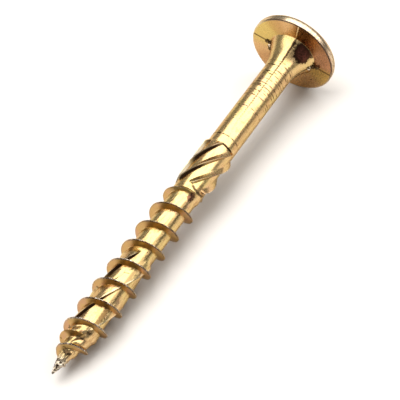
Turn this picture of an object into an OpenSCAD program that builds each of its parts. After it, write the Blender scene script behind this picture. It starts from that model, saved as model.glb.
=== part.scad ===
// Washer-head construction screw with a coarse thread, a point with ribs and a fluted reamer
// All sizes in millimetres. The screw lies as it comes to rest: on the rim of its head and one thread crest.

/* [Length] */
// Length from the point to the bearing face under the head
under_head_l = 65; // [60:1:90]

/* [Head] */
// Diameter of the washer head
head_d = 13.8; // [13:0.1:15]
// Height of the head from the bearing face to its top
head_h = 2.05; // [1.9:0.05:2.5]
// Height of the straight side of the rim
rim_h = 0.6; // [0.5:0.05:0.8]
// Small bevel at the lower edge of the rim
rim_bevel = 0.12; // [0.05:0.01:0.2]
// Diameter of the flat middle of the head's top
crown_d = 9.2; // [8.4:0.1:10]
// Diameter of the flared neck where it meets the bearing face
neck_d = 7.8; // [7.2:0.1:8.4]
// Length of the flared neck
neck_l = 5; // [4:0.1:6]
// How sharply the neck flares: higher is more sudden
neck_power = 2.2; // [1.6:0.1:3]

/* [Drive recess] */
// Diameter across the six lobes of the drive recess
recess_lobe_d = 5.6; // [5:0.1:6]
// Diameter between the hollows of the drive recess
recess_root_d = 3.95; // [3.6:0.05:4.2]
// Depth of the drive recess
recess_depth = 2.6; // [2:0.1:3]
// Radius of the hollows between the lobes
recess_hollow_r = 1.2; // [1.1:0.05:1.3]

/* [Shank] */
// Diameter of the plain shank
shank_d = 4.5; // [4.4:0.05:4.6]

/* [Reamer] */
// Diameter over the cutting edges of the reamer
reamer_d = 5.46; // [5.2:0.02:5.7]
// Diameter at the bottom of the flutes
reamer_root_d = 4.36; // [4:0.02:4.4]
// Length of the reamer
reamer_l = 8.6; // [7:0.1:12]
// Plain length between the end of the thread and the reamer
reamer_gap = 0.85; // [0.7:0.05:2]
// Number of flutes
reamer_flutes = 6; // [4:1:7]
// Axial length of one full turn of a flute
reamer_lead = 24.8; // [18:0.1:40]
// Turn of the flutes about the axis, in degrees
reamer_turn = 0; // [-30:1:30]
// Length over which the ends of the reamer run in
reamer_round_l = 0.8; // [0.6:0.1:2]

/* [Thread] */
// Outside diameter of the thread
thread_d = 6; // [5.6:0.1:6.4]
// Core diameter inside the thread
core_d = 4; // [3.7:0.05:4.1]
// Pitch of the thread
pitch = 3.7; // [3.5:0.05:4]
// Distance from the point at which the thread has run out
thread_l = 34.2; // [30:0.1:38]
// Axial length over which the thread runs out
thread_fade = 1.5; // [1:0.1:3]
// Axial width of the flat on the crest
crest_w = 0.12; // [0.08:0.01:0.2]
// Axial width of the flank that faces the point
flank_point_w = 0.45; // [0.35:0.01:0.75]
// Axial width of the flank that faces the head
flank_head_w = 0.45; // [0.35:0.01:0.55]
// Distance of a crest from the point, on top of the lying screw
crest_start = 0.45; // [0.2:0.05:0.8]

/* [Point] */
// Radius of the blunt end of the point
point_r = 0.12; // [0.08:0.01:0.18]
// Length of the tapered core at the point
point_l = 7.4; // [6.5:0.1:8.5]
// Length over which the thread grows to full diameter
grow_l = 7.6; // [6.8:0.1:9]
// Length of the first steep part of the thread's growth
grow_first_l = 3.5; // [3:0.1:4]
// Height of the thread where the steep part ends
grow_first_h = 0.71; // [0.5:0.01:0.8]
// How late the thread rises on the tip: higher is later
grow_power = 1.9; // [1:0.1:2.5]
// Length of the twisted tip on which the turns crowd together
crowd_l = 3; // [2.6:0.1:3.2]
// Height of the short second thread near the point
second_h = 0.8; // [0.4:0.05:0.9]
// Distance from the point at which the second thread starts
second_start = 3.4; // [3:0.1:4]
// Distance from the point at which the second thread ends
second_end = 6.7; // [6:0.1:7.4]

/* [Ribs on the core] */
// Number of cutting ribs along the lower core
rib_count = 4; // [3:1:4]
// Height of a cutting rib
rib_h = 0.35; // [0.2:0.01:0.4]
// Axial length of one full turn of a rib
rib_lead = 33.3; // [28:0.1:50]
// Turn of the ribs about the axis, in degrees
rib_turn = 0; // [-20:1:20]
// Distance from the point at which the ribs have risen
rib_start = 7.6; // [6:0.1:9]
// Distance from the point at which the ribs end
rib_end = 21.8; // [18:0.1:25]

/* [Hidden] */
brass_yellow = [0.80, 0.64, 0.33];
joint_gap = 0.05;

// Radii
head_r = head_d / 2;
shank_r = shank_d / 2;
core_r = core_d / 2;
thread_r = thread_d / 2;
bury = 0.2;
collar_r = shank_r - joint_gap;

// How the lying screw leans: the head's rim and one full crest at the bottom touch the floor
crest_turns = ceil((grow_l - crest_start) / pitch - 0.5) + 0.5;
crest_at = crest_start + crest_turns * pitch;
rim_at = under_head_l + rim_bevel;
lean = atan((head_r - thread_r) / (rim_at - crest_at));

// Profile of the head, neck and shank as [radius, distance from the point]
reamer_at = thread_l + reamer_gap;
reamer_end = reamer_at + reamer_l;
inner_r = core_r - 2 * bury;
shank_bevel_l = 0.45;
shank_in_l = 0.6;
shank_at = reamer_end - shank_in_l;
neck_steps = 12;
crown_steps = 6;
rim_top = under_head_l + rim_bevel + rim_h;
top_at = under_head_l + head_h;
function neck_point(t) = [
    shank_r + (neck_d / 2 - shank_r) * pow(t, neck_power),
    under_head_l - neck_l * (1 - t)
];
function crown_point(a) = [
    crown_d / 2 + (head_r - crown_d / 2) * cos(a),
    rim_top + (top_at - rim_top) * sin(a)
];
neck_curve = [for (i = [0 : neck_steps]) neck_point(i / neck_steps)];
crown_curve = [for (i = [0 : crown_steps]) crown_point(90 * i / crown_steps)];
head_profile = concat(
    [[0, shank_at], [inner_r, shank_at], [shank_r, shank_at + shank_bevel_l]],
    neck_curve,
    [[head_r - rim_bevel, under_head_l], [head_r, under_head_l + rim_bevel]],
    crown_curve,
    [[0, top_at]]
);

// Profile of the plain collar between the thread and the reamer
collar_in_l = 0.15;
collar_top_l = 0.35;
collar_profile = [
    [0, thread_l - collar_in_l],
    [inner_r, thread_l - collar_in_l],
    [collar_r, thread_l - collar_in_l + shank_bevel_l],
    [collar_r, reamer_at + collar_top_l],
    [inner_r, reamer_at + collar_top_l + shank_bevel_l],
    [0, reamer_at + collar_top_l + shank_bevel_l]
];

// Where the lying screw sits: middle of its length over the origin, lowest edge on the floor
x_high = max([for (p = head_profile) p[1] * cos(lean) + p[0] * sin(lean)]);
x_low = -point_r * sin(lean);
x_shift = -(x_high + x_low) / 2;
z_shift = head_r * cos(lean) - rim_at * sin(lean);

// Twist of the ribs and the pitch of the thread as seen from the twisted columns
rib_twist = 360 / rib_lead;
column_pitch = pitch / (1 - pitch / rib_lead);
rib_wall_at = 9;
rib_wall_angle = 150;
rib_phase = rib_wall_angle - rib_twist * rib_wall_at + rib_turn;
crest_phase = (crest_start - pitch / 2 + pitch * rib_phase / 360) / (1 - pitch / rib_lead);

// Columns across one rib: its steep wall, the plain core, then the slow rise to the edge
wall_half = 2;
rise_part = 0.55;
plain_columns = 5;
rise_columns = 5;
rib_sector = 360 / rib_count;
rise_from = rib_sector * (1 - rise_part);
rise_to = rib_sector - wall_half;
sector_columns = concat(
    [for (i = [0 : plain_columns]) wall_half + (rise_from - wall_half) * i / plain_columns],
    [for (i = [1 : rise_columns]) rise_from + (rise_to - rise_from) * i / rise_columns]
);
columns = [for (k = [0 : rib_count - 1]) for (c = sector_columns) k * rib_sector + c];
column_count = len(columns);
function rib_rise(c) = max(0, (c % rib_sector - rise_from) / (rise_to - rise_from));

// Rows of one thread turn as parts of the pitch, with the kind of each row: 0 core, 1 crest, 2 second crest
plain_part = 0.27;
second_part = 0.55;
second_point_part = 0.15;
second_head_part = 0.11;
row_parts = [
    crest_w / 2 / pitch,
    (crest_w / 2 + flank_head_w) / pitch,
    plain_part,
    second_part - second_point_part,
    second_part,
    second_part + second_head_part,
    1 - (crest_w / 2 + flank_point_w) / pitch,
    1 - crest_w / 2 / pitch
];
row_kinds = [1, 0, 0, 0, 2, 0, 0, 1];
turn_rows = len(row_parts);
first_turn = -2;
end_room = 0.6;
turn_total = ceil(turn_rows * ((thread_l + end_room - crest_phase) / column_pitch - first_turn)) / turn_rows;
row_count = round(turn_total * turn_rows);

// Distance along the axis: the turns crowd together at the tip and where the core enters the shank
crowd_end = thread_l + end_room;
function along(t) =
    t < crowd_l ? crowd_l * exp((t - crowd_l) / crowd_l) :
    t > thread_l ? crowd_end - end_room * exp(-(t - thread_l) / end_room) :
    t;

// Radii along the screw
core_flare_l = 1;
function ease(x) = let (t = min(1, max(0, x))) t * t * (3 - 2 * t);
function core_at(s) =
    s < point_l ? point_r + (core_r - point_r) * s / point_l :
    s > thread_l + end_room / 2 ? core_r - joint_gap :
    core_r + (collar_r - joint_gap - core_r) * ease((s - thread_l + core_flare_l) / core_flare_l);
first_crest_r = point_r + (core_r - point_r) * grow_first_l / point_l + grow_first_h;
function grown_r(s) =
    s < grow_first_l ? core_at(s) + grow_first_h * pow(s / grow_first_l, grow_power) :
    min(thread_r, first_crest_r + (thread_r - first_crest_r) * (s - grow_first_l) / (grow_l - grow_first_l));
function crest_r(s) =
    core_at(s) + (grown_r(s) - core_at(s)) * min(1, max(0, (thread_l - s) / thread_fade));
second_rise_l = 1.5;
second_fall_l = 1;
function second_r(s) =
    second_h * ease((s - second_start) / second_rise_l) * ease((second_end - s) / second_fall_l);
rib_fade = 1;
rib_rise_l = 2.4;
function rib_r(s, c) =
    rib_h * rib_rise(c) * ease((s - rib_start + rib_rise_l) / rib_rise_l) * ease((rib_end - s) / rib_fade);
function body_r(s, c, kind) =
    kind == 1 ? max(crest_r(s), core_at(s) + rib_r(s, c)) :
    core_at(s) + max(rib_r(s, c), kind == 2 ? second_r(s) : 0);

// Points of the threaded body: rows follow the thread, columns follow the ribs
function row_turn(i) = first_turn + floor(i / turn_rows) + row_parts[i % turn_rows];
function row_t(i) = crest_phase + column_pitch * row_turn(i);
function body_point(i, j) =
    let (s = along(row_t(i) + column_pitch * columns[j] / 360))
    let (r = body_r(s, columns[j], row_kinds[i % turn_rows]))
    let (a = columns[j] + rib_twist * s + rib_phase)
    [r * cos(a), r * sin(a), s];
body_points = [for (i = [0 : row_count]) for (j = [0 : column_count - 1]) body_point(i, j)];
body_total = (row_count + 1) * column_count;
function at(i, j) = j < column_count ? i * column_count + j : (i + turn_rows) * column_count;
start_loop = concat(
    [for (j = [0 : column_count - 1]) at(0, j)],
    [for (i = [turn_rows : -1 : 1]) at(i, 0)]
);
end_loop = concat(
    [for (j = [0 : column_count - 1]) at(row_count, j)],
    [for (i = [1 : turn_rows]) at(row_count - i, column_count - 1)]
);
function last_row(j) = j == column_count - 1 ? row_count - turn_rows - 1 : row_count - 1;
body_faces = concat(
    [for (j = [0 : column_count - 1]) for (i = [0 : last_row(j)]) [at(i, j), at(i + 1, j), at(i, j + 1)]],
    [for (j = [0 : column_count - 1]) for (i = [0 : last_row(j)])
        [at(i + 1, j), at(i + 1, j + 1), at(i, j + 1)]],
    [for (k = [0 : len(start_loop) - 1])
        [body_total, start_loop[k], start_loop[(k + 1) % len(start_loop)]]],
    [for (k = [0 : len(end_loop) - 1])
        [body_total + 1, end_loop[(k + 1) % len(end_loop)], end_loop[k]]]
);

// The reamer: twisted flutes with a wide bottom and one steep wall to a cutting edge, run in at both ends
reamer_r = reamer_d / 2;
reamer_root_r = reamer_root_d / 2;
flute_bottom = 0.56;
flute_edge = 0.88;
flute_foot = 0.985;
flute_power = 1.3;
bottom_columns = 4;
edge_columns = 5;
flute_parts = concat(
    [for (k = [0 : bottom_columns - 1]) flute_bottom * k / bottom_columns],
    [for (k = [0 : edge_columns]) flute_bottom + (flute_edge - flute_bottom) * k / edge_columns],
    [flute_foot]
);
function flute_rise(p) =
    p > flute_edge ? 0 : pow(max(0, p - flute_bottom) / (flute_edge - flute_bottom), flute_power);
flute_columns = len(flute_parts);
reamer_columns = reamer_flutes * flute_columns;
reamer_twist = 360 / reamer_lead;
reamer_flute_at = 39.7;
reamer_flute_angle = 207;
reamer_phase = reamer_flute_angle - reamer_twist * reamer_flute_at + reamer_turn;
end_parts = [0, 0.08, 0.2, 0.4, 0.7, 1];
middle_rows = 12;
reamer_rows = concat(
    [for (p = end_parts) reamer_at + reamer_round_l * p],
    [for (k = [1 : middle_rows - 1])
        reamer_at + reamer_round_l + (reamer_l - 2 * reamer_round_l) * k / middle_rows],
    [for (k = [len(end_parts) - 1 : -1 : 0]) reamer_end - reamer_round_l * end_parts[k]]
);
reamer_last = len(reamer_rows) - 1;
reamer_cap_r = collar_r - bury / 2;
function run_in(s) =
    let (x = min(1, min(s - reamer_at, reamer_end - s) / reamer_round_l))
    sqrt(max(0, 1 - (1 - x) * (1 - x)));
function flute_r(j) = reamer_root_r + (reamer_r - reamer_root_r) * flute_rise(flute_parts[j % flute_columns]);
function flute_angle(j) = (floor(j / flute_columns) + flute_parts[j % flute_columns]) * 360 / reamer_flutes;
function reamer_point(i, j) =
    let (s = reamer_rows[i])
    let (r = reamer_cap_r + (flute_r(j) - reamer_cap_r) * run_in(s))
    let (a = flute_angle(j) + reamer_twist * s + reamer_phase)
    [r * cos(a), r * sin(a), s];
reamer_points = [for (i = [0 : reamer_last]) for (j = [0 : reamer_columns - 1]) reamer_point(i, j)];
function ring(i, j) = i * reamer_columns + j % reamer_columns;
reamer_faces = concat(
    [for (i = [0 : reamer_last - 1]) for (j = [0 : reamer_columns - 1])
        [ring(i, j), ring(i + 1, j), ring(i, j + 1)]],
    [for (i = [0 : reamer_last - 1]) for (j = [0 : reamer_columns - 1])
        [ring(i + 1, j), ring(i + 1, j + 1), ring(i, j + 1)]],
    [[for (j = [0 : reamer_columns - 1]) ring(0, j)]],
    [[for (j = [reamer_columns - 1 : -1 : 0]) ring(reamer_last, j)]]
);

// Tip, core, thread, second thread and ribs in one body
module threaded_body() {
    end_points = [[0, 0, 0], [0, 0, crowd_end]];
    polyhedron(points = concat(body_points, end_points), faces = body_faces, convexity = 10);
}

// Fluted reamer below the shank
module reamer() {
    polyhedron(points = reamer_points, faces = reamer_faces, convexity = 10);
}

// Plain collar between the thread and the reamer
module collar() {
    rotate_extrude($fn = 96) polygon(collar_profile);
}

// Six-lobe drive recess: a round pocket with six hollows left standing
module recess() {
    translate([0, 0, top_at - recess_depth]) difference() {
        cylinder(d = recess_lobe_d, h = recess_depth + 1, $fn = 72);
        for (k = [0 : 5]) {
            rotate([0, 0, 30 + 60 * k])
                translate([recess_root_d / 2 + recess_hollow_r, 0, -1])
                    cylinder(r = recess_hollow_r, h = recess_depth + 3, $fn = 48);
        }
    }
}

// Shank, flared neck and washer head
module head_and_shank() {
    difference() {
        rotate_extrude($fn = 96) polygon(head_profile);
        recess();
    }
}

module screw() {
    color(brass_yellow)
        translate([x_shift, 0, z_shift])
            rotate([0, 90 - lean, 0]) {
                threaded_body();
                collar();
                reamer();
                head_and_shank();
            }
}

screw();
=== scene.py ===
import math

import bmesh
import bpy
import numpy as np
from mathutils import Matrix, Vector


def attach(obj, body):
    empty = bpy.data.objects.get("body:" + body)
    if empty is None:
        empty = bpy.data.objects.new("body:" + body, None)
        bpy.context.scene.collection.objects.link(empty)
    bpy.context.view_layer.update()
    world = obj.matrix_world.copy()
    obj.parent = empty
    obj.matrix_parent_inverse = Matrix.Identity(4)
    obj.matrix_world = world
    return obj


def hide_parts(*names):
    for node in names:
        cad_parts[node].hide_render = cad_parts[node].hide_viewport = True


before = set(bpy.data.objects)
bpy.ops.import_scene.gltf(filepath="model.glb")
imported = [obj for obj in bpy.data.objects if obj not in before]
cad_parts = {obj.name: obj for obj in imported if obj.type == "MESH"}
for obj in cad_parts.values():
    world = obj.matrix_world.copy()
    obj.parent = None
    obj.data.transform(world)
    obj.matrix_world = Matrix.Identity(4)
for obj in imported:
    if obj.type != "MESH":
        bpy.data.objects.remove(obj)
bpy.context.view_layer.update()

# Sizes of the screw in millimetres, as in the part's source but with steeper flanks and with seams.
# Places along the axis are measured from the point, angles round it from the top towards the camera.
UNDER_HEAD_L = 65.0
HEAD_D = 13.8
HEAD_H = 2.05
RIM_H = 0.6
RIM_BEVEL = 0.12
CROWN_D = 9.2
NECK_D = 7.8
NECK_L = 5.0
NECK_POWER = 2.2
RECESS_LOBE_D = 5.6
RECESS_ROOT_D = 3.95
RECESS_DEPTH = 2.6
RECESS_HOLLOW_R = 1.2
SHANK_D = 4.5
COLLAR_D = 4.4
REAMER_D = 5.46
REAMER_ROOT_D = 4.36
REAMER_L = 8.6
REAMER_GAP = 0.85
REAMER_FLUTES = 6
REAMER_LEAD = 24.8
REAMER_ROUND_L = 0.8
THREAD_D = 6.0
CORE_D = 4.0
PITCH = 3.7
THREAD_L = 34.2
THREAD_FADE = 1.5
CREST_W = 0.12
FLANK_POINT_W = 0.38
FLANK_HEAD_W = 0.40
CREST_START = 0.45
POINT_R = 0.12
POINT_L = 7.4
GROW_L = 7.6
GROW_FIRST_L = 3.5
GROW_FIRST_H = 0.71
GROW_POWER = 1.9
CROWD_L = 3.0
SECOND_H = 0.8
SECOND_START = 3.4
SECOND_END = 6.7
RIB_COUNT = 4
RIB_H = 0.35
RIB_LEAD = 33.3
RIB_START = 7.6
RIB_END = 21.8
SEAM_ANGLES = [10.0, 100.0, 190.0, 280.0]
FRONT_SEAM = SEAM_ANGLES[0]

# Where the screw lies: its head's rim and one thread crest touch the floor
MM = 0.001
HEAD_R = HEAD_D / 2
SHANK_R = SHANK_D / 2
COLLAR_R = COLLAR_D / 2
CORE_R = CORE_D / 2
THREAD_R = THREAD_D / 2
CREST_AT = CREST_START + (math.ceil((GROW_L - CREST_START) / PITCH - 0.5) + 0.5) * PITCH
RIM_AT = UNDER_HEAD_L + RIM_BEVEL
LEAN = math.atan((HEAD_R - THREAD_R) / (RIM_AT - CREST_AT))
REAMER_AT = THREAD_L + REAMER_GAP
REAMER_END = REAMER_AT + REAMER_L
TOP_AT = UNDER_HEAD_L + HEAD_H
RIM_TOP = RIM_AT + RIM_H


def crown_point(angle):
    """Radius and place along the axis on the rounded shoulder of the head's top."""
    return (
        CROWN_D / 2 + (HEAD_R - CROWN_D / 2) * math.cos(angle),
        RIM_TOP + (TOP_AT - RIM_TOP) * math.sin(angle),
    )


CROWN = [crown_point(math.radians(15 * i)) for i in range(7)]
X_HIGH = max(s * math.cos(LEAN) + r * math.sin(LEAN) for r, s in CROWN + [(HEAD_R, RIM_AT)])
X_SHIFT = -(X_HIGH - POINT_R * math.sin(LEAN)) / 2
Z_SHIFT = HEAD_R * math.cos(LEAN) - RIM_AT * math.sin(LEAN)
LYING = math.radians(90) - LEAN


class Quantity:
    """A number that flows through a node tree: arithmetic on it adds Math nodes."""

    def __init__(self, recipe, socket):
        self.recipe = recipe
        self.socket = socket

    def __add__(self, other):
        return self.recipe.math("ADD", self, other)

    def __sub__(self, other):
        return self.recipe.math("SUBTRACT", self, other)

    def __rsub__(self, other):
        return self.recipe.math("SUBTRACT", other, self)

    def __mul__(self, other):
        return self.recipe.math("MULTIPLY", self, other)

    def __truediv__(self, other):
        return self.recipe.math("DIVIDE", self, other)

    def __pow__(self, other):
        return self.recipe.math("POWER", self, other)

    def floor(self):
        return self.recipe.math("FLOOR", self)

    def fract(self):
        return self.recipe.math("FRACT", self)

    def sin(self):
        return self.recipe.math("SINE", self)

    def cos(self):
        return self.recipe.math("COSINE", self)

    def exp(self):
        return self.recipe.math("EXPONENT", self)

    def root(self):
        return self.recipe.math("SQRT", self)

    def size(self):
        return self.recipe.math("ABSOLUTE", self)

    def most(self, other):
        return self.recipe.math("MAXIMUM", self, other)

    def least(self, other):
        return self.recipe.math("MINIMUM", self, other)

    def over(self, other):
        return self.recipe.math("GREATER_THAN", self, other)

    def ramp(self, start, end, low=0.0, high=1.0):
        """Straight change from low to high between start and end, level outside."""
        return self.recipe.map_range("LINEAR", self, start, end, low, high)

    def ease(self, start, end, low=0.0, high=1.0):
        """Soft change from low to high between start and end, level outside."""
        return self.recipe.map_range("SMOOTHSTEP", self, start, end, low, high)

    def ridge(self, rise_start, rise_end, fall_start, fall_end):
        """Straight rise from 0 to 1, then a straight fall back to 0."""
        return self.ramp(rise_start, rise_end) * self.ramp(fall_start, fall_end, 1.0, 0.0)

    def window(self, rise_start, rise_end, fall_start, fall_end):
        """Soft rise from 0 to 1, then a soft fall back to 0."""
        return self.ease(rise_start, rise_end) * self.ease(fall_start, fall_end, 1.0, 0.0)


class Recipe:
    """Adds nodes to a tree and joins them up."""

    def __init__(self, tree):
        self.tree = tree

    def node(self, kind, **settings):
        made = self.tree.nodes.new(kind)
        for name, value in settings.items():
            setattr(made, name, value)
        return made

    def feed(self, socket, value):
        if isinstance(value, Quantity):
            value = value.socket
        if isinstance(value, bpy.types.NodeSocket):
            self.tree.links.new(value, socket)
        else:
            socket.default_value = value

    def math(self, operation, *values):
        made = self.node("ShaderNodeMath", operation=operation)
        for socket, value in zip(made.inputs, values):
            self.feed(socket, value)
        return Quantity(self, made.outputs[0])

    def map_range(self, kind, value, start, end, low, high):
        made = self.node("ShaderNodeMapRange", interpolation_type=kind, clamp=True)
        for socket, given in zip(made.inputs, (value, start, end, low, high)):
            self.feed(socket, given)
        return Quantity(self, made.outputs[0])

    def steps(self, value, places):
        """Follows straight lines through the (value, result) places."""
        total = places[0][1]
        for (v0, r0), (v1, r1) in zip(places, places[1:]):
            total = value.ramp(v0, v1, 0.0, r1 - r0) + total
        return total


def turned_from(around, middle):
    """Angle from the middle of a sector to a place, from -180 to 180 degrees."""
    return (((around - middle) / 360.0 + 0.5).fract() - 0.5) * 360.0


def sector_offset(around, middle):
    """Size of the angle between a place and the middle of a sector."""
    return turned_from(around, middle).size()


def sector(around, middle, half, soft):
    """1 within half of the middle angle, falling to 0 over the soft part."""
    return sector_offset(around, middle).ease(half, half + soft, 1.0, 0.0)


def placed(name, data):
    """A new object in the scene that holds the given data."""
    made = bpy.data.objects.new(name, data)
    bpy.context.scene.collection.objects.link(made)
    return made


def sized_tree(name, sizes):
    """A Geometry Nodes tree with one named input for each size, and those inputs as quantities."""
    tree = bpy.data.node_groups.new(name, "GeometryNodeTree")
    tree.interface.new_socket("Geometry", in_out="INPUT", socket_type="NodeSocketGeometry")
    tree.interface.new_socket("Geometry", in_out="OUTPUT", socket_type="NodeSocketGeometry")
    for label in sizes:
        tree.interface.new_socket(label, in_out="INPUT", socket_type="NodeSocketFloat")
    recipe = Recipe(tree)
    given = recipe.node("NodeGroupInput")
    return recipe, {label: Quantity(recipe, given.outputs[label]) for label in sizes}


def sheet_places(recipe, across, along):
    """A flat sheet of points to be wrapped round the axis, and each point's place on it from 0 to 1."""
    sheet = recipe.node("GeometryNodeMeshGrid")
    sheet.inputs["Size X"].default_value = 1.0
    sheet.inputs["Size Y"].default_value = 1.0
    sheet.inputs["Vertices X"].default_value = across + 1
    sheet.inputs["Vertices Y"].default_value = along + 1
    parts = recipe.node("ShaderNodeSeparateXYZ")
    recipe.feed(parts.inputs[0], recipe.node("GeometryNodeInputPosition").outputs[0])
    u = Quantity(recipe, parts.outputs[0]) + 0.5
    v = Quantity(recipe, parts.outputs[1]) + 0.5
    return sheet.outputs["Mesh"], u, v


def round_the_axis(recipe, radius, degrees, along):
    """The point at a radius, an angle round the axis and a distance along it."""
    angle = degrees * math.radians(1)
    place = recipe.node("ShaderNodeCombineXYZ")
    for socket, value in zip(place.inputs, (angle.cos() * radius, angle.sin() * radius, along)):
        recipe.feed(socket, value)
    return place.outputs[0]


def wrap_and_lay(recipe, sheet, radius, degrees, along, weld, material, marks):
    """Wraps the sheet round the axis, welds it, lays it down in metres and ends the tree."""
    for name, value in marks.items():
        kept = recipe.node("GeometryNodeStoreNamedAttribute", data_type="FLOAT", domain="POINT")
        recipe.feed(kept.inputs["Geometry"], sheet)
        kept.inputs["Name"].default_value = name
        recipe.feed(kept.inputs["Value"], value)
        sheet = kept.outputs[0]
    moved = recipe.node("GeometryNodeSetPosition")
    recipe.feed(moved.inputs["Geometry"], sheet)
    recipe.feed(moved.inputs["Position"], round_the_axis(recipe, radius, degrees, along))
    welded = recipe.node("GeometryNodeMergeByDistance")
    recipe.feed(welded.inputs["Geometry"], moved.outputs[0])
    welded.inputs["Distance"].default_value = weld
    laid = recipe.node("GeometryNodeTransform")
    recipe.feed(laid.inputs["Geometry"], welded.outputs[0])
    laid.inputs["Translation"].default_value = (X_SHIFT * MM, 0.0, Z_SHIFT * MM)
    laid.inputs["Rotation"].default_value = (0.0, LYING, 0.0)
    laid.inputs["Scale"].default_value = (MM, MM, MM)
    real = recipe.node("GeometryNodeRealizeInstances")
    recipe.feed(real.inputs[0], laid.outputs[0])
    coated = recipe.node("GeometryNodeSetMaterial")
    recipe.feed(coated.inputs["Geometry"], real.outputs[0])
    coated.inputs["Material"].default_value = material
    recipe.feed(recipe.node("NodeGroupOutput").inputs[0], coated.outputs[0])


def seamless_noise(recipe, degrees, along, radius, scale):
    """Noise from -0.5 to 0.5 that closes on itself round the axis."""
    made = recipe.node("ShaderNodeTexNoise")
    recipe.feed(made.inputs["Vector"], round_the_axis(recipe, radius, degrees, along))
    made.inputs["Scale"].default_value = scale
    made.inputs["Detail"].default_value = 2.0
    return Quantity(recipe, made.outputs[0]) - 0.5


def finished_mesh(name, recipe, sizes, sharp_angle):
    """Runs a tree with its sizes and returns a plain closed object."""
    maker = placed(name + "_maker", bpy.data.meshes.new(name + "_maker"))
    modifier = maker.modifiers.new("shape", "NODES")
    modifier.node_group = recipe.tree
    for item in recipe.tree.interface.items_tree:
        if item.in_out == "INPUT" and item.name in sizes:
            modifier[item.identifier] = float(sizes[item.name])
    ready = maker.evaluated_get(bpy.context.evaluated_depsgraph_get())
    mesh = bpy.data.meshes.new_from_object(ready)
    maker.modifiers.remove(modifier)
    bpy.data.objects.remove(maker)
    close_up(mesh, sharp_angle)
    return placed(name, mesh)


def close_up(mesh, sharp_angle):
    """Closes open ends, turns faces outward and marks the sharp edges of a smooth mesh."""
    work = bmesh.new()
    work.from_mesh(mesh)
    bmesh.ops.dissolve_degenerate(work, edges=work.edges, dist=1e-8)
    open_edges = [edge for edge in work.edges if edge.is_boundary]
    bmesh.ops.holes_fill(work, edges=open_edges, sides=0)
    bmesh.ops.recalc_face_normals(work, faces=work.faces)
    work.to_mesh(mesh)
    work.free()
    mesh.shade_smooth()
    mesh.set_sharp_from_angle(angle=math.radians(sharp_angle))


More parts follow.
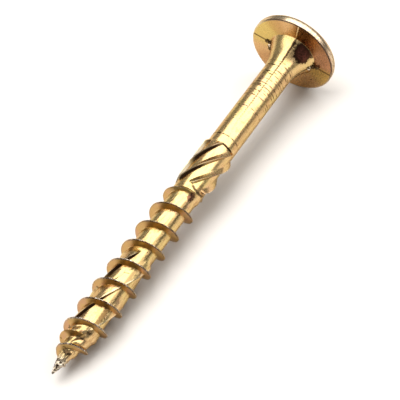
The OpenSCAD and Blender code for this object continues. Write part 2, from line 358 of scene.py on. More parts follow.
# The threaded point: rows of the sheet follow the thread, columns follow the ribs
def threaded_point(material):
    rib_twist = 360 / RIB_LEAD
    rib_wall_at = 9.0
    rib_wall_angle = 150.0
    rib_phase = rib_wall_angle - rib_twist * rib_wall_at
    column_pitch = PITCH / (1 - PITCH / RIB_LEAD)
    crest_phase = (CREST_START - PITCH / 2 + PITCH * rib_phase / 360) / (1 - PITCH / RIB_LEAD)
    first_turn = -3
    end_room = 0.6
    turn_rows = 40
    rib_columns = 45
    rows = math.ceil(turn_rows * ((THREAD_L + end_room - crest_phase) / column_pitch - first_turn))
    sizes = {
        "Thread radius": THREAD_R,
        "Core radius": CORE_R,
        "Collar radius": COLLAR_R,
        "Thread length": THREAD_L,
        "Column pitch": column_pitch,
        "Crest phase": crest_phase,
        "Rib height": RIB_H,
        "Rib twist": rib_twist,
        "Second thread height": SECOND_H,
    }
    recipe, size = sized_tree("threaded point", sizes)
    sheet, u, v = sheet_places(recipe, rib_columns * RIB_COUNT, rows)
    # Columns crowd on the edge and the wall of each rib, rows on the flanks of the thread
    wall_top = 0.973
    wall_foot = 0.997
    ribs = u * RIB_COUNT
    rib_part = recipe.steps(ribs.fract(), [
        (0, 0),
        (34 / rib_columns, 0.87),
        (40 / rib_columns, wall_top),
        (44 / rib_columns, wall_foot),
        (1, 1),
    ])
    column = (ribs.floor() + rib_part) * (360.0 / RIB_COUNT)
    row = v * (rows / turn_rows)
    turn = row.floor()
    half_crest = CREST_W / 2 / PITCH
    head_foot = (CREST_W / 2 + FLANK_HEAD_W) / PITCH
    point_foot = 1 - (CREST_W / 2 + FLANK_POINT_W) / PITCH
    part = recipe.steps(row - turn, [
        (0, 0),
        (1 / turn_rows, half_crest),
        (10 / turn_rows, head_foot),
        (25 / turn_rows, point_foot),
        (39 / turn_rows, 1 - half_crest),
        (1, 1),
    ])
    # Rows past either end are squeezed into the nose and into the collar
    t = size["Crest phase"] + size["Column pitch"] * (turn + part + column / 360.0 + first_turn)
    low = ((t.least(CROWD_L) - CROWD_L) / CROWD_L).exp() * CROWD_L
    middle = t.most(CROWD_L).least(size["Thread length"]) - CROWD_L
    high = (1.0 - ((t - size["Thread length"]).most(0.0) / -end_room).exp()) * end_room
    s = low + middle + high
    degrees = column + size["Rib twist"] * s + rib_phase
    # Core: a blunt nose, a straight taper, the plain core, and a flare into the collar
    nose = s.ramp(0.0, POINT_R)
    nose = (nose * (2.0 - nose)).root()
    taper = s.ramp(0.0, POINT_L, POINT_R, CORE_R) - CORE_R + size["Core radius"]
    flare = (s - size["Thread length"]).ease(-1.0, 0.0) * (size["Collar radius"] - size["Core radius"])
    flare_reach = 1.02
    # Valley floors of the first turns are level, as rolling leaves them
    lower_floor = part.ridge(0.08, 0.15, 0.40, 0.47) * (0.28 - part)
    upper_floor = part.ridge(0.61, 0.68, 0.83, 0.90) * (0.75 - part)
    steepness = PITCH * (CORE_R - POINT_R) / POINT_L
    level = (lower_floor + upper_floor) * steepness * s.window(2.2, 3.2, 7.2, 7.7)
    core = taper * nose + flare * flare_reach + level
    # Thread: grows over the point, runs out below the collar
    first_crest_r = POINT_R + (CORE_R - POINT_R) * GROW_FIRST_L / POINT_L + GROW_FIRST_H
    early = core + s.ramp(0.0, GROW_FIRST_L) ** GROW_POWER * GROW_FIRST_H
    late = s.ramp(GROW_FIRST_L, GROW_L) * (size["Thread radius"] - first_crest_r) + first_crest_r
    grown = early + (late - early) * s.over(GROW_FIRST_L)
    fade = (size["Thread length"] - s).ramp(0.0, THREAD_FADE)
    head_side = part.ramp(half_crest, head_foot, 1.0, 0.0)
    point_side = part.ramp(point_foot, 1 - half_crest)
    flank = head_side.most(point_side)
    thread = (grown - core).most(0.0) * fade * flank * s.ease(0.6, 2.4, 0.35, 1.0)
    # Ribs: a slow rise to an edge with a steep wall
    rise = rib_part.ridge(0.45, 0.97, wall_top, wall_foot)
    rib = rise * s.window(RIB_START - 2.4, RIB_START, RIB_END - 1.0, RIB_END) * size["Rib height"]
    # Short second thread between the first turns
    sharper = 1.25
    second = part.ridge(0.46, 0.54, 0.55, 0.62)
    second = second * s.window(SECOND_START, SECOND_START + 1.5, SECOND_END - 1.0, SECOND_END)
    radius = core + thread.most(rib).most(second * size["Second thread height"] * sharper)
    # Rough rolled metal on the first turns and a little on the crests
    coarse = seamless_noise(recipe, degrees, s, CORE_R, 1.1)
    fine = seamless_noise(recipe, degrees, s, CORE_R, 3.0)
    uneven = coarse * s.window(0.2, 2.5, 4.5, 6.5) * 0.13
    radius = radius + uneven + fine * s.ease(0.1, 1.0) * s.ease(2.6, 4.4, 0.26, 0.07)
    # Shallow slanting notch in the floor of the first turn
    notch_at = 5.45
    notch_angle = 180.0 + 17.0
    notch_slant = 0.034
    notch_depth = 0.04
    off_notch = (s - notch_at - turned_from(degrees, notch_angle) * notch_slant).size()
    notch = off_notch.ease(0.12, 0.34, 1.0, 0.0) * sector(degrees, notch_angle, 15.0, 8.0)
    radius = radius - notch * notch_depth
    ribbed = s.window(RIB_START - 1.0, RIB_START + 1.0, RIB_END - 0.8, RIB_END)
    bare = flank.ease(0.05, 0.25, 1.0, 0.0) * ribbed
    rib_wall = rib_part.ramp(0.955, 0.975) + rib_part.ramp(0.0, 0.05, 1.0, 0.0)
    # The groove mark carries painted shade on the rib walls and in the notch; the edge mark carries a
    # painted highlight on the rib edges
    marks = {
        "flank": (flank * fade.ramp(0.0, 0.35)).most(second),
        "groove": (rib_wall * bare * s.ease(18.0, 23.0, 1.0, 0.3)).most(notch * 0.4),
        "edge": rib_part.ridge(0.89, 0.93, 0.945, 0.96) * bare * 0.5,
    }
    wrap_and_lay(recipe, sheet, radius, degrees, s, weld=0.002, material=material, marks=marks)
    return finished_mesh("threaded_point", recipe, sizes, sharp_angle=38)


# The reamer: twisted flutes that rise slowly to a cutting edge with one steep wall
def reamer(material):
    twist = 360 / REAMER_LEAD
    flute_at = 39.7
    flute_angle = 206.9
    flute_columns = 44
    rows = 110
    sizes = {
        "Edge radius": REAMER_D / 2,
        "Root radius": REAMER_ROOT_D / 2,
        "Length": REAMER_L,
        "Twist": twist,
        "Run-in length": REAMER_ROUND_L,
    }
    recipe, size = sized_tree("reamer", sizes)
    sheet, u, v = sheet_places(recipe, flute_columns * REAMER_FLUTES, rows)
    flutes = u * REAMER_FLUTES
    flute = flutes.floor()
    edge_at = 0.88
    wall_foot = 0.985
    part = recipe.steps(flutes - flute, [
        (0, 0),
        (12 / flute_columns, 0.54),
        (32 / flute_columns, edge_at),
        (41 / flute_columns, wall_foot),
        (1, 1),
    ])
    rise = part.ramp(0.56, edge_at) ** 1.3 * part.ramp(edge_at, wall_foot, 1.0, 0.0)
    s = v * size["Length"] + REAMER_AT
    cap_r = COLLAR_R - 0.1
    end = ((s - REAMER_AT).least(REAMER_END - s) / size["Run-in length"]).least(1.0).most(0.0)
    run_in = (end * (2.0 - end)).root()
    fluted = size["Root radius"] + (size["Edge radius"] - size["Root radius"]) * rise
    inner = v.over(0.0001) * (1.0 - v).over(0.0001)
    radius = ((fluted - cap_r) * run_in + cap_r) * inner
    degrees = (flute + part) * (360 / REAMER_FLUTES) + size["Twist"] * s + (flute_angle - twist * flute_at)
    # The groove mark carries painted shade on the steep walls; the edge mark carries a painted highlight on
    # the cutting edges
    marks = {
        "groove": part.window(0.895, 0.925, wall_foot, 1.0) * run_in,
        "edge": part.ridge(0.83, 0.87, 0.885, 0.90) * run_in * 0.7,
    }
    wrap_and_lay(recipe, sheet, radius, degrees, s, weld=0.0005, material=material, marks=marks)
    return finished_mesh("reamer", recipe, sizes, sharp_angle=38)


# Shank, neck and head: a turned profile with pressing seams, turning rings and a six-lobe recess
def profile_rows():
    """Rows as (radius, distance from the point, how much the radius follows the recess outline)."""
    start = THREAD_L + 0.2
    hidden_r = 1.7
    rows = [(0.0, start, 0), (1.9, start, 0)]
    rows += [(COLLAR_R, s, 0) for s in np.linspace(start + 0.1, REAMER_AT + 0.35, 14)]
    # A thinner length runs hidden inside the reamer
    rows += [(hidden_r, REAMER_AT + 0.8, 0), (hidden_r, REAMER_END - 0.6, 0), (2.1, REAMER_END - 0.25, 0)]
    rows += [(SHANK_R, s, 0) for s in np.arange(REAMER_END - 0.15, UNDER_HEAD_L - NECK_L, 0.08)]
    for t in np.linspace(0, 1, 60):
        r = SHANK_R + (NECK_D / 2 - SHANK_R) * t ** NECK_POWER
        rows.append((r, UNDER_HEAD_L - NECK_L * (1 - t), 0))
    rows += [(r, UNDER_HEAD_L, 0) for r in np.linspace(NECK_D / 2 + 0.04, HEAD_R - RIM_BEVEL, 40)]
    for a in np.radians(np.linspace(0, 90, 5)[1:]):
        bevel_r = HEAD_R - RIM_BEVEL * (1 - math.sin(a))
        rows.append((bevel_r, UNDER_HEAD_L + RIM_BEVEL * (1 - math.cos(a)), 0))
    rows += [(HEAD_R, s, 0) for s in np.linspace(RIM_AT + 0.1, RIM_TOP - 0.06, 6)]
    rows += [crown_point(math.radians(a)) + (0,) for a in np.linspace(0, 90, 22)]
    # Flat top, then down the walls of the recess to its dished floor
    mouth = RECESS_LOBE_D / 2
    floor_at = TOP_AT - RECESS_DEPTH
    rows += [(r, TOP_AT, 0) for r in np.linspace(CROWN_D / 2 - 0.2, mouth + 0.5, 8)]
    rows += [(mouth + 0.25, TOP_AT, 0.5), (mouth + 0.12, TOP_AT - 0.01, 1), (mouth, TOP_AT - 0.12, 1)]
    rows += [(mouth, s, 1) for s in np.linspace(TOP_AT - 0.3, floor_at + 0.1, 8)]
    rows += [(mouth - 0.1, floor_at, 1), (mouth * 0.6, floor_at - 0.25, 0.8)]
    rows += [(mouth * 0.3, floor_at - 0.45, 0.4), (0.0, floor_at - 0.55, 0)]
    return np.array(rows)


def column_angles():
    """Angles round the axis, closer together beside the four seams."""
    side = np.concatenate([[0, 0.5, 1.0, 1.6, 2.3, 3.2, 4.5], np.linspace(6.2, 45, 17)])
    angles = [seam + sign * a for seam in SEAM_ANGLES for a in side for sign in (1, -1)]
    return np.unique(np.round(np.mod(angles, 360), 4))


def recess_radius(degrees):
    """Radius of the six-lobe outline at an angle round the axis."""
    lobe_r = RECESS_LOBE_D / 2
    off = np.radians(degrees % 60 - 30)
    centre = RECESS_ROOT_D / 2 + RECESS_HOLLOW_R
    aside = centre * np.sin(off)
    hollow = centre * np.cos(off) - np.sqrt(np.maximum(RECESS_HOLLOW_R ** 2 - aside ** 2, 0))
    return np.where(np.abs(aside) < RECESS_HOLLOW_R, np.minimum(hollow, lobe_r), lobe_r)


def bump_at(x, middle, width):
    """A smooth bump, 1 at its middle."""
    return np.exp(-((x - middle) / width) ** 2)


def turned(degrees, target):
    """Signed difference between two angles."""
    return (degrees - target + 180) % 360 - 180


def laid_down(r, degrees, s):
    """Points in metres on the lying screw from radius, angle from the top and distance from the point."""
    angle = np.radians(degrees + 180)
    x = r * np.cos(angle)
    y = r * np.sin(angle)
    along = x * math.sin(LEAN) + s * math.cos(LEAN) + X_SHIFT
    height = s * math.sin(LEAN) - x * math.cos(LEAN) + Z_SHIFT
    return np.stack(np.broadcast_arrays(along, y, height), -1) * MM


def shank_and_head(material):
    rows = profile_rows()
    phi = column_angles()
    rng = np.random.default_rng(7)
    along = rows[:, 1]
    r = np.repeat(rows[:, 0][:, None], len(phi), 1)
    s = np.repeat(along[:, None], len(phi), 1)
    follow = rows[:, 2][:, None]
    outline = recess_radius(phi)[None, :] / (RECESS_LOBE_D / 2)
    r = r * (1 + follow * (outline - 1))
    on_shank = (rows[:, 0] >= SHANK_R - 1e-6) & (along > REAMER_END - 0.2) & (along < UNDER_HEAD_L - 0.01)
    on_under = np.isclose(along, UNDER_HEAD_L) & (rows[:, 0] < HEAD_R - RIM_BEVEL - 0.01)
    groove = np.zeros_like(r)
    # Rings left by turning and gripping, strongest under the head, and one deep ring above the reamer
    deep_ring, deep_ring_depth = 45.05, 0.018
    deepen_from, deepen_l, shallow, deeper, full_mark = 46, 15, 0.006, 0.016, 0.016
    rings_start, rings_end, ring_gap, ring_w = 46.6, 61.2, 0.47, 0.085
    fine_rings = np.arange(rings_start, rings_end, ring_gap) + rng.uniform(-0.13, 0.13, 32)
    for middle in np.concatenate([[deep_ring], fine_rings]):
        depth = deep_ring_depth
        if middle > deepen_from:
            depth = rng.uniform(0.3, 1.0) * (shallow + deeper * (middle - deepen_from) / deepen_l)
        start = rng.uniform(0, 360)
        length = rng.uniform(150, 330)
        arc = np.clip((length / 2 - np.abs(turned(phi, start))) / 25, 0.15, 1)
        broken = 0.65 + 0.35 * np.sin(phi * rng.uniform(0.15, 0.3) + start)
        ring = np.where(on_shank, bump_at(along, middle, ring_w), 0)[:, None] * (arc * broken)[None, :]
        r -= depth * ring
        # The groove mark paints shade into the rings
        groove = np.maximum(groove, ring * min(1.0, depth / full_mark))
    # Seams where the parts of the heading die met; the front one reaches further down the shank
    seam_h, seam_under_h, seam_w = 0.045, 0.035, 0.075
    for seam in SEAM_ANGLES:
        off = turned(phi, seam)[None, :] * np.radians(1) * np.maximum(r, 0.5)
        ridge = bump_at(off, 0, seam_w)
        rough = 0.7 + 0.3 * np.sin(along * 9 + seam) * np.sin(along * 23 + 2 * seam)
        reach_start = 45 if seam == FRONT_SEAM else 51
        reach = np.clip((along - reach_start) / 8, 0, 1) * rough
        r += np.where(on_shank, seam_h * reach, 0)[:, None] * ridge
        s -= np.where(on_under, seam_under_h, 0)[:, None] * ridge
        line_w = np.where(along > 61, 0.13, 0.12)[:, None]
        line = bump_at(off + 0.03 * np.sin(along * 5)[:, None], 0, line_w)
        dotted = 0.65 + 0.35 * np.sin(along * 13 + seam)
        shown = np.where(on_shank, reach * np.where(along > 61.5, 1.7, dotted), 0)
        if seam != FRONT_SEAM:
            shown = shown + np.where(on_under, 0.9, 0)
        groove = np.maximum(groove, shown[:, None] * line)
    verts = laid_down(r, phi[None, :], s).reshape(-1, 3)
    count = len(phi)
    faces = []
    for i in range(len(rows) - 1):
        for j in range(count):
            k = (j + 1) % count
            faces.append((i * count + j, i * count + k, (i + 1) * count + k, (i + 1) * count + j))
    mesh = bpy.data.meshes.new("shank_and_head")
    mesh.from_pydata(verts.tolist(), [], faces)
    kept = mesh.attributes.new("groove", "FLOAT", "POINT")
    kept.data.foreach_set("value", groove.astype(np.float32).ravel())
    work = bmesh.new()
    work.from_mesh(mesh)
    bmesh.ops.remove_doubles(work, verts=work.verts, dist=1e-7)
    work.to_mesh(mesh)
    work.free()
    close_up(mesh, sharp_angle=35)
    mesh.materials.append(material)
    return placed("shank_and_head", mesh)


# Burrs: small torn lumps where three seams meet the head, marked for painted shade but for a few by the
# neck marked for painted highlights
def seam_burrs(material):
    rng = np.random.default_rng(11)
    work = bmesh.new()
    layers = {name: work.verts.layers.float.new(name) for name in ("groove", "edge")}
    shade_mark, glint_mark = 1.4, 0.9
    foot_r, foot_at, foot_slope = 3.95, 64.93, 1.4
    for seam, near, far, count in ((279.0, 3.2, 4.6, 22), (98.0, 3.3, 4.7, 20), (188.0, 3.9, 4.6, 5)):
        for k in range(count):
            r = rng.uniform(near, far)
            off = rng.normal(0, 0.13)
            depth = foot_at - max(0.0, foot_r - r) * foot_slope
            centre = laid_down(np.array(r), np.array(seam + math.degrees(off / r)), np.array(depth))
            made = bmesh.ops.create_icosphere(work, subdivisions=2, radius=rng.uniform(0.14, 0.30) * MM)
            bright = r < 3.8 and k % 3 == 0
            layer = layers["edge" if bright else "groove"]
            stretch = rng.uniform(0.6, 1.3, 3)
            for vert in made["verts"]:
                ragged = 1 + 0.28 * math.sin(vert.co.x * 3.1e4 + k) * math.sin(vert.co.z * 2.6e4 + 2 * k)
                vert.co = Vector(centre) + Vector(np.array(vert.co) * stretch * ragged)
                vert[layer] = glint_mark if bright else shade_mark
    mesh = bpy.data.meshes.new("seam_burrs")
    work.to_mesh(mesh)
    work.free()
    close_up(mesh, sharp_angle=30)
    mesh.materials.append(material)
    return placed("seam_burrs", mesh)


# Plating material
def screw_place(recipe):
    """The point in millimetres on an upright screw, its distance from the tip, its angle and its radius."""
    coords = recipe.node("ShaderNodeTexCoord")
    mapping = recipe.node("ShaderNodeMapping", vector_type="POINT")
    back = Matrix.Rotation(-LYING, 3, "Y")
    recipe.feed(mapping.inputs["Vector"], coords.outputs["Object"])
    mapping.inputs["Scale"].default_value = (1000, 1000, 1000)
    mapping.inputs["Rotation"].default_value = (0, -LYING, 0)
    mapping.inputs["Location"].default_value = -(back @ Vector((X_SHIFT, 0, Z_SHIFT)))
    parts = recipe.node("ShaderNodeSeparateXYZ")
    recipe.feed(parts.inputs[0], mapping.outputs[0])
    x, y, s = (Quantity(recipe, out) for out in parts.outputs)
    around = recipe.math("ARCTAN2", y * -1.0, x * -1.0) * math.degrees(1)
    radius = (x * x + y * y).root()
    return mapping.outputs[0], s, around, radius


def noise(recipe, vector, scale, detail=2.0, roughness=0.5):
    """Noise from 0 to 1."""
    made = recipe.node("ShaderNodeTexNoise")
    recipe.feed(made.inputs["Vector"], vector)
    made.inputs["Scale"].default_value = scale
    made.inputs["Detail"].default_value = detail
    made.inputs["Roughness"].default_value = roughness
    return Quantity(recipe, made.outputs["Fac"])


def mix_colour(recipe, amount, first, second):
    """The first colour, with the given amount of the second mixed in."""
    made = recipe.node("ShaderNodeMix", data_type="RGBA", blend_type="MIX")
    recipe.feed(made.inputs["Factor"], amount)
    for name, value in (("A", first), ("B", second)):
        socket = next(i for i in made.inputs if i.name == name and i.type == "RGBA")
        if isinstance(value, tuple):
            value = value + (1.0,)
        recipe.feed(socket, value)
    return next(o for o in made.outputs if o.type == "RGBA")


def mark(recipe, name):
    """A mark stored on the mesh, from 0 upwards."""
    made = recipe.node("ShaderNodeAttribute", attribute_name=name, attribute_type="GEOMETRY")
    return Quantity(recipe, made.outputs["Fac"])


# Colours of the plating, of worn metal, of stains and dirt, and of painted shade, reflections and
# highlights
GOLD = (0.68, 0.465, 0.22)
OLIVE = (0.665, 0.495, 0.205)
PINK = (0.70, 0.425, 0.255)
ORANGE = (0.55, 0.335, 0.132)
BROWN = (0.38, 0.20, 0.085)
DARK = (0.04, 0.018, 0.009)
RED_BROWN = (0.12, 0.035, 0.025)
REFLECTION_RED = (0.19, 0.062, 0.042)
PALE = (0.82, 0.74, 0.62)
WORN = (0.72, 0.61, 0.47)
CORE_SIDE_SHADE = (0.27, 0.18, 0.075)
LOW_CORE_SHADE = (0.13, 0.07, 0.025)
SLANT_LINE_BROWN = (0.22, 0.13, 0.055)
FLANK_PINK = (0.58, 0.33, 0.195)
FLANK_SHADE = (0.36, 0.235, 0.068)
CREST_SHADE = (0.07, 0.045, 0.035)
RIM_PITS = (0.15, 0.08, 0.05)
SECOND_RIDGE_SHADE = (0.15, 0.08, 0.024)
NOTCH_SHADE = (0.08, 0.035, 0.013)
PEACH = (0.64, 0.38, 0.172)
STRAW = (0.62, 0.455, 0.14)
UMBER = (0.42, 0.235, 0.07)
CLAY = (0.50, 0.27, 0.12)
COPPER = (0.50, 0.235, 0.10)
ROSE = (0.74, 0.37, 0.19)
OCHRE = (0.63, 0.405, 0.113)
TAN = (0.66, 0.385, 0.165)
DARK_REFLECTION_WEDGE = (0.25, 0.10, 0.03)
CREAM = (0.80, 0.62, 0.36)
EDGE_TINT = (0.80, 0.70, 0.56, 1.0)

# Tints under the head: middle angle, half width, soft edge, strength and colour, laid on in this order.
# Straw, rose, ochre and tan are hues of the plating; umber and clay darken two narrow wedges on the left;
# copper is painted shade over the right half; the dark wedge at 19 degrees carries the neck's painted dark
# reflection under the head; the cream line is a painted highlight on the front seam.
UNDER_HEAD_TINTS = [
    (-62, 16, 26, 0.9, STRAW),
    (-30, 6, 14, 0.5, UMBER),
    (-135, 14, 20, 0.8, CLAY),
    (62, 40, 18, 0.9, COPPER),
    (78, 12, 16, 0.85, ROSE),
    (115, 12, 14, 0.8, OCHRE),
    (172, 30, 25, 0.9, TAN),
    (19, 7, 14, 0.75, DARK_REFLECTION_WEDGE),
    (9.5, 0.9, 0.8, 0.8, CREAM),
]


class Coat:
    """The plating while it is painted: places on the screw, marks, noises and the colour so far."""

    def __init__(self, recipe):
        self.recipe = recipe
        self.point, self.s, self.around, self.radius = screw_place(recipe)
        self.flank = mark(recipe, "flank")
        self.groove = mark(recipe, "groove")
        self.edge = mark(recipe, "edge")
        self.on_flank = self.flank.ease(0.0, 0.14)
        self.warm = noise(recipe, self.point, 0.5, 3.0)
        self.mottle = noise(recipe, self.point, 3.2, 4.0, 0.6)
        self.grain = noise(recipe, self.point, 9.0, 2.0, 0.6)
        drawn_out = recipe.node("ShaderNodeMapping")
        recipe.feed(drawn_out.inputs["Vector"], self.point)
        drawn_out.inputs["Scale"].default_value = (1.0, 1.0, 0.22)
        self.streaks = noise(recipe, drawn_out.outputs[0], 2.4, 3.0, 0.6)
        patches = noise(recipe, self.point, 0.22)
        self.colour = mix_colour(recipe, patches.ease(0.38, 0.62), GOLD, OLIVE)

    def paint(self, amount, tint):
        self.colour = mix_colour(self.recipe, amount, self.colour, tint)

    def sector(self, middle, half, soft):
        return sector(self.around, middle, half, soft)

    def oval(self, middle, half_angle, at, half_length):
        """Distance from the middle of an oval on the surface, 1 at its edge."""
        across = sector_offset(self.around, middle) / half_angle
        length = (self.s - at) / half_length
        return (across * across + length * length).root()


def paint_tints(coat):
    """Pink and brown clouds and streaks over the whole screw."""
    coat.paint(coat.warm.ease(0.52, 0.75) * 0.7, PINK)
    coat.paint(coat.mottle.ease(0.55, 0.8) * 0.45, BROWN)
    coat.paint(coat.streaks.ease(0.50, 0.68) * coat.s.ease(33.0, 36.0, 0.7, 0.45), BROWN)


def paint_thread(coat):
    """Orange flanks with painted shade, painted shade along the crests with painted glints, and a painted
    shade streak along the side of the core.
    """
    # Painted shade streak along the core at 43 degrees, where the highlight ends
    core_side_shade = coat.s.window(8.0, 10.0, 32.0, 33.0) * (1.0 - coat.on_flank) * coat.sector(43, 6, 8)
    coat.paint(core_side_shade * coat.streaks.ease(0.3, 0.5, 0.5, 0.85), CORE_SIDE_SHADE)
    # Darker orange on every flank is painted shade, with more painted shade round 8 degrees
    coat.paint(coat.on_flank * 0.85, ORANGE)
    coat.paint(coat.on_flank * coat.warm.ease(0.48, 0.6) * 0.7, FLANK_PINK)
    coat.paint(coat.on_flank * coat.sector(8, 25, 26) * 0.8, FLANK_SHADE)
    # Painted shade along the crests, strongest round 25 degrees and broken up by grain
    crest_shade = coat.flank.ease(0.80, 0.90) * (coat.sector(25, 45, 30) * 0.6 + 0.35)
    coat.paint(crest_shade * coat.grain.ease(0.5, 0.64, 1.0, 0.2), CREST_SHADE)
    # Painted glints on the crests, fewer towards the head
    crest_glints = coat.flank.ease(0.84, 0.94) * coat.grain.ease(0.52, 0.60) * coat.s.ease(17.0, 26.0, 1.0, 0.3)
    coat.paint(crest_glints * 0.9, PALE)


def paint_sides(coat):
    """Painted shade along one side of the shank and at the edge of the core's highlight, a thin slanting
    brown line on the core, and painted highlight on the reamer's left lands.
    """
    s = coat.s
    # Painted shade band along the shank round 62 degrees
    coat.paint(s.window(43.9, 44.3, 59.0, 61.0) * coat.sector(62, 7, 9) * 0.3, BROWN)
    # Painted shade that ends the core's highlight early on the first band
    uneven = sector_offset(coat.around, 46) + (coat.mottle - 0.5) * 22.0
    low_core_shade = uneven.ease(7.0, 11.0, 1.0, 0.0) * s.window(8.2, 8.8, 11.2, 12.4)
    coat.paint(low_core_shade * (1.0 - coat.on_flank) * 0.85, LOW_CORE_SHADE)
    # A thin slanting brown line on the core at 17.3 mm
    slant_line = (s - 17.3 - coat.around * 0.015).size().ease(0.05, 0.13, 0.8, 0.0)
    coat.paint(slant_line * coat.sector(20, 9, 4), SLANT_LINE_BROWN)
    # Painted highlight on the reamer's left lands
    coat.paint(s.window(35.6, 36.4, 42.6, 43.4) * coat.sector(-74, 14, 12) * 0.5, PALE)


def paint_underside(coat):
    """Tints under the head, partly the plating's hues and partly painted shade and reflection, with a
    painted highlight along the front seam.
    """
    under = coat.s.window(64.7, 64.95, 65.15, 65.4) * coat.radius.ease(3.85, 4.05)
    coat.paint(under * 0.85, PEACH)
    for middle, half, soft, strength, tint in UNDER_HEAD_TINTS:
        coat.paint(under * coat.sector(middle, half, soft) * strength, tint)


def paint_neck(coat):
    """Painted dark reflection beside the front seam with a red-brown middle, carried up to the head by a
    dark spot, and the seam from the shank up to the head.
    """
    s, warm, mottle = coat.s, coat.warm, coat.mottle
    neck = coat.radius.ramp(3.86, 3.95, 1.0, 0.0) * s.ramp(64.96, 65.0, 1.0, 0.0)
    # Painted dark reflection on the neck to the right of the front seam
    dark_reflection = coat.oval(46, 32.0, 63.95, 1.6) + (warm - 0.5) * 0.9 + (mottle - 0.5) * 0.9
    coat.paint(dark_reflection.ease(0.75, 1.0, 1.0, 0.0) * neck, DARK)
    # Red-brown middle of the painted reflection
    reflection_red = dark_reflection.ease(0.4, 0.8, 1.0, 0.0) * mottle.ease(0.40, 0.60, 0.35, 1.0)
    coat.paint(reflection_red * neck, REFLECTION_RED)
    # Dark spot that carries the painted reflection up to the head beside the seam
    seam_top_reflection = coat.oval(13, 5.0, 64.35, 0.5) + (mottle - 0.5) * 1.6
    coat.paint(seam_top_reflection.ease(0.6, 1.0, 0.9, 0.0) * neck, DARK)
    off_seam = sector_offset(coat.around + (warm - 0.5) * 6.0, FRONT_SEAM)
    seam = off_seam.ease(1.1, 2.6, 1.0, 0.0) * s.window(56.5, 60.5, 64.5, 64.9)
    coat.paint(seam * mottle.ease(0.35, 0.55, 0.95, 0.55), DARK)


def paint_reamer_ends(coat):
    """Brown stain where the thread runs out, painted shade on the end of the lowest land, and painted shade
    lines where the reamer's valleys end.
    """
    s, mottle = coat.s, coat.mottle
    stain = coat.oval(43, 18.0, 33.3, 0.95) + (mottle - 0.5) * 1.6
    coat.paint(stain.ease(0.55, 1.0, 0.9, 0.0), RED_BROWN)
    ragged = (mottle - 0.5) * 0.5
    bow = sector_offset(coat.around, 50)
    # Painted shade on the rounded end of the lowest land
    lobe = s.window(34.5, 34.8, 35.6, 36.2) * coat.sector(66, 20, 16)
    coat.paint(lobe * mottle.ease(0.35, 0.6, 0.2, 0.6), BROWN)
    # Painted shade line under the lower ends of the lands
    below = (s - 34.55 - bow * bow * 0.00035 + ragged).size().ease(0.08, 0.34, 0.9, 0.0)
    coat.paint(below * coat.sector(54, 28, 18), DARK)
    # Painted shade line at the upper ends of the valleys
    above = (s - 43.42 - bow * 0.002 + ragged * 0.5).size().ease(0.10, 0.22, 0.95, 0.0)
    above = above * coat.radius.ease(2.3, 2.45, 1.0, 0.0)
    coat.paint(above * coat.sector(41, 22, 8), DARK)


def paint_rim(coat):
    """Worn and pitted rim between two dark lines."""
    rim = coat.radius.ease(6.62, 6.74)
    coat.paint(rim * coat.mottle.ease(0.3, 0.6, 1.0, 0.4), WORN)
    coat.paint(rim * coat.grain.ease(0.56, 0.68) * 0.7, BROWN)
    coat.paint(rim * coat.sector(75, 38, 25) * coat.grain.ease(0.50, 0.58) * 0.75, RIM_PITS)
    lower = coat.s.ease(65.05, 65.14, 1.0, 0.0) * coat.sector(30, 60, 30)
    upper = coat.s.window(65.66, 65.72, 65.78, 65.86) * 0.6
    coat.paint(rim * (lower + upper) * 0.85, DARK)


def paint_tip(coat):
    """Silvery tip with painted shade in a cavity under the first crest, painted shade in the notch and on
    the second ridge's lower face, and dark specks in the first turn.
    """
    s, around, mottle = coat.s, coat.around, coat.mottle
    tip = s.ease(1.6, 3.2, 1.0, 0.0)
    coat.paint(tip * 0.7, PALE)
    coat.paint(tip * mottle.ease(0.49, 0.56), DARK)
    coat.paint(s.ease(0.1, 0.4, 0.8, 0.0), DARK)
    # Painted shade in the cavity under the first crest
    cavity = coat.oval(8, 44.0, 3.4, 0.5) + (mottle - 0.5) * 1.6
    coat.paint(cavity.ease(0.6, 1.0, 0.9, 0.0), DARK)
    specks = coat.oval(42, 16.0, 7.25, 0.45) + (coat.grain - 0.5) * 3.0
    coat.paint(specks.ease(0.6, 1.0, 0.85, 0.0), DARK)
    # Painted shade on the lower face of the second ridge
    second_ridge_shade = s - around.ease(-5.0, 25.0) * 0.3
    coat.paint(second_ridge_shade.window(5.5, 5.7, 6.0, 6.25) * coat.sector(-8, 32, 12) * 0.75, SECOND_RIDGE_SHADE)
    # Painted shade in the slanting notch
    notch = (s - 5.02 - around * 0.025).size().ease(0.10, 0.28, 0.9, 0.0)
    coat.paint(notch * coat.sector(26, 14, 10), NOTCH_SHADE)


def paint_edges_and_pits(coat):
    """Painted highlights on the edges, painted shade in the grooves and walls with the dark seam lines, and
    a scatter of small pits.
    """
    recipe, groove = coat.recipe, coat.groove
    # Painted highlights along the rib and reamer edges and on a few burrs
    coat.paint(coat.edge * coat.grain.ramp(0.42, 0.58, 0.3, 1.0), PALE)
    # Painted shade in the rings, rib and reamer walls, notch and burrs, weighted by angle; the seam lines
    # in it are dark joints
    shade = (coat.sector(-18, 20, 16) * 0.6 + 0.38).most(coat.s.ease(43.9, 44.2) * 0.72)
    groove_shade_and_seams = (groove.ease(0.05, 0.5) * shade).most(groove.ease(1.1, 1.5))
    coat.paint(groove_shade_and_seams, DARK)
    cells = recipe.node("ShaderNodeTexVoronoi")
    recipe.feed(cells.inputs["Vector"], coat.point)
    cells.inputs["Scale"].default_value = 0.75
    drawn = recipe.node("ShaderNodeSeparateColor")
    recipe.feed(drawn.inputs[0], cells.outputs["Color"])
    chosen = Quantity(recipe, drawn.outputs[0]).over(0.72)
    pit = Quantity(recipe, cells.outputs["Distance"]).ease(0.06, 0.13, 1.0, 0.0) * chosen
    coat.paint(pit * 0.85, DARK)


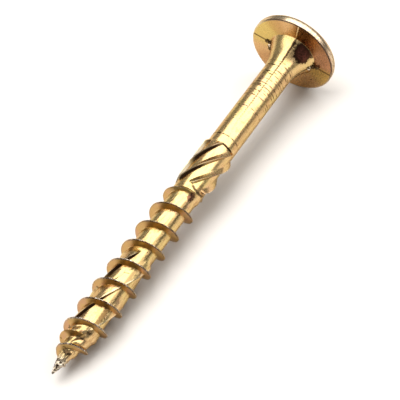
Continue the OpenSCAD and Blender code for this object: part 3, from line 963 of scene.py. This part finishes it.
PAINTING_ORDER = [
    paint_tints,
    paint_thread,
    paint_sides,
    paint_underside,
    paint_neck,
    paint_reamer_ends,
    paint_rim,
    paint_tip,
    paint_edges_and_pits,
]


def plating():
    material = bpy.data.materials.new("yellow_zinc_plating")
    material.use_nodes = True
    shader = material.node_tree.nodes["Principled BSDF"]
    recipe = Recipe(material.node_tree)
    coat = Coat(recipe)
    for step in PAINTING_ORDER:
        step(coat)
    recipe.feed(shader.inputs["Base Color"], coat.colour)
    shader.inputs["Metallic"].default_value = 1.0
    shader.inputs["Specular Tint"].default_value = EDGE_TINT
    rough = coat.mottle.ramp(0.3, 0.7, 0.20, 0.32) + coat.on_flank * 0.06 + coat.groove * 0.15
    recipe.feed(shader.inputs["Roughness"], rough)
    bump = recipe.node("ShaderNodeBump")
    bump.inputs["Strength"].default_value = 0.25
    bump.inputs["Distance"].default_value = 0.00003
    recipe.feed(bump.inputs["Height"], coat.mottle + coat.grain * 0.5)
    recipe.feed(shader.inputs["Normal"], bump.outputs[0])
    return material


# Floor, light and camera
FLOOR_COLOUR = (0.575, 0.545, 0.512, 1.0)
FLOOR_HALF = 1.5
WORLD_STRENGTH = 0.30
CAMERA_AZIMUTH = -58.73996
CAMERA_ELEVATION = 49.73489
CAMERA_DISTANCE = 230
CAMERA_ASIDE = 19.69945
CAMERA_ABOVE = 23.12597
FOCAL_PIXELS = 1728.6549
PICTURE_PIXELS = 400
SENSOR_MM = 36


def floor_material():
    material = bpy.data.materials.new("pale_floor")
    material.use_nodes = True
    shader = material.node_tree.nodes["Principled BSDF"]
    shader.inputs["Roughness"].default_value = 0.9
    shader.inputs["Specular IOR Level"].default_value = 0.1
    shader.inputs["Base Color"].default_value = FLOOR_COLOUR
    return material


def make_floor():
    mesh = bpy.data.meshes.new("floor")
    corners = [(x * FLOOR_HALF, y * FLOOR_HALF, 0) for x, y in ((-1, -1), (1, -1), (1, 1), (-1, 1))]
    mesh.from_pydata(corners, [], [(0, 1, 2, 3)])
    mesh.materials.append(floor_material())
    floor = placed("floor", mesh)


def softbox(name, place, width, length, radiance):
    """A lit panel that hangs level, with its brightness given per area."""
    lamp = bpy.data.lights.new(name, "AREA")
    lamp.shape = "RECTANGLE"
    lamp.size = width
    lamp.size_y = length
    lamp.energy = radiance * math.pi * width * length
    holder = placed(name, lamp)
    holder.location = place
    return holder


def make_light():
    world = bpy.data.worlds.new("studio")
    bpy.context.scene.world = world
    world.use_nodes = True
    back = world.node_tree.nodes["Background"]
    back.inputs["Color"].default_value = (1, 1, 1, 1)
    back.inputs["Strength"].default_value = WORLD_STRENGTH
    softbox("overhead_softbox", (0.235, -0.145, 0.30), width=0.33, length=0.79, radiance=3.0)
    softbox("left_softbox", (-0.16, 0.26, 0.33), width=0.20, length=0.48, radiance=2.4)
    softbox("neck_softbox", (0.005, 0.115, 0.32), width=0.13, length=0.24, radiance=2.6)
    # The far one faces the screw and gives the floor its shadow
    far = softbox("far_softbox", (-0.20, 0.32, 0.93), width=0.76, length=0.76, radiance=5.92)
    far.rotation_euler = (-far.location).to_track_quat("-Z", "Y").to_euler()
    far.visible_glossy = False


def make_camera():
    azimuth = math.radians(CAMERA_AZIMUTH)
    elevation = math.radians(CAMERA_ELEVATION)
    level = math.cos(elevation)
    back = Vector((math.sin(azimuth) * level, -math.cos(azimuth) * level, math.sin(elevation)))
    right = Vector((math.cos(azimuth), math.sin(azimuth), 0))
    up = back.cross(right)
    tip = Vector((X_SHIFT, 0, Z_SHIFT))
    place = (tip + CAMERA_ASIDE * right + CAMERA_ABOVE * up + CAMERA_DISTANCE * back) * MM
    data = bpy.data.cameras.new("camera")
    data.sensor_width = SENSOR_MM
    data.lens = FOCAL_PIXELS / PICTURE_PIXELS * SENSOR_MM
    data.clip_start = 0.005
    camera = placed("camera", data)
    turn = Matrix((right, up, back)).transposed().to_4x4()
    camera.matrix_world = Matrix.Translation(place) @ turn
    bpy.context.scene.camera = camera


finish = plating()
for piece in (threaded_point(finish), reamer(finish), shank_and_head(finish), seam_burrs(finish)):
    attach(piece, "root")
    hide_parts("screw")
make_floor()
make_light()
make_camera()
bpy.context.scene.view_settings.view_transform = "Standard"
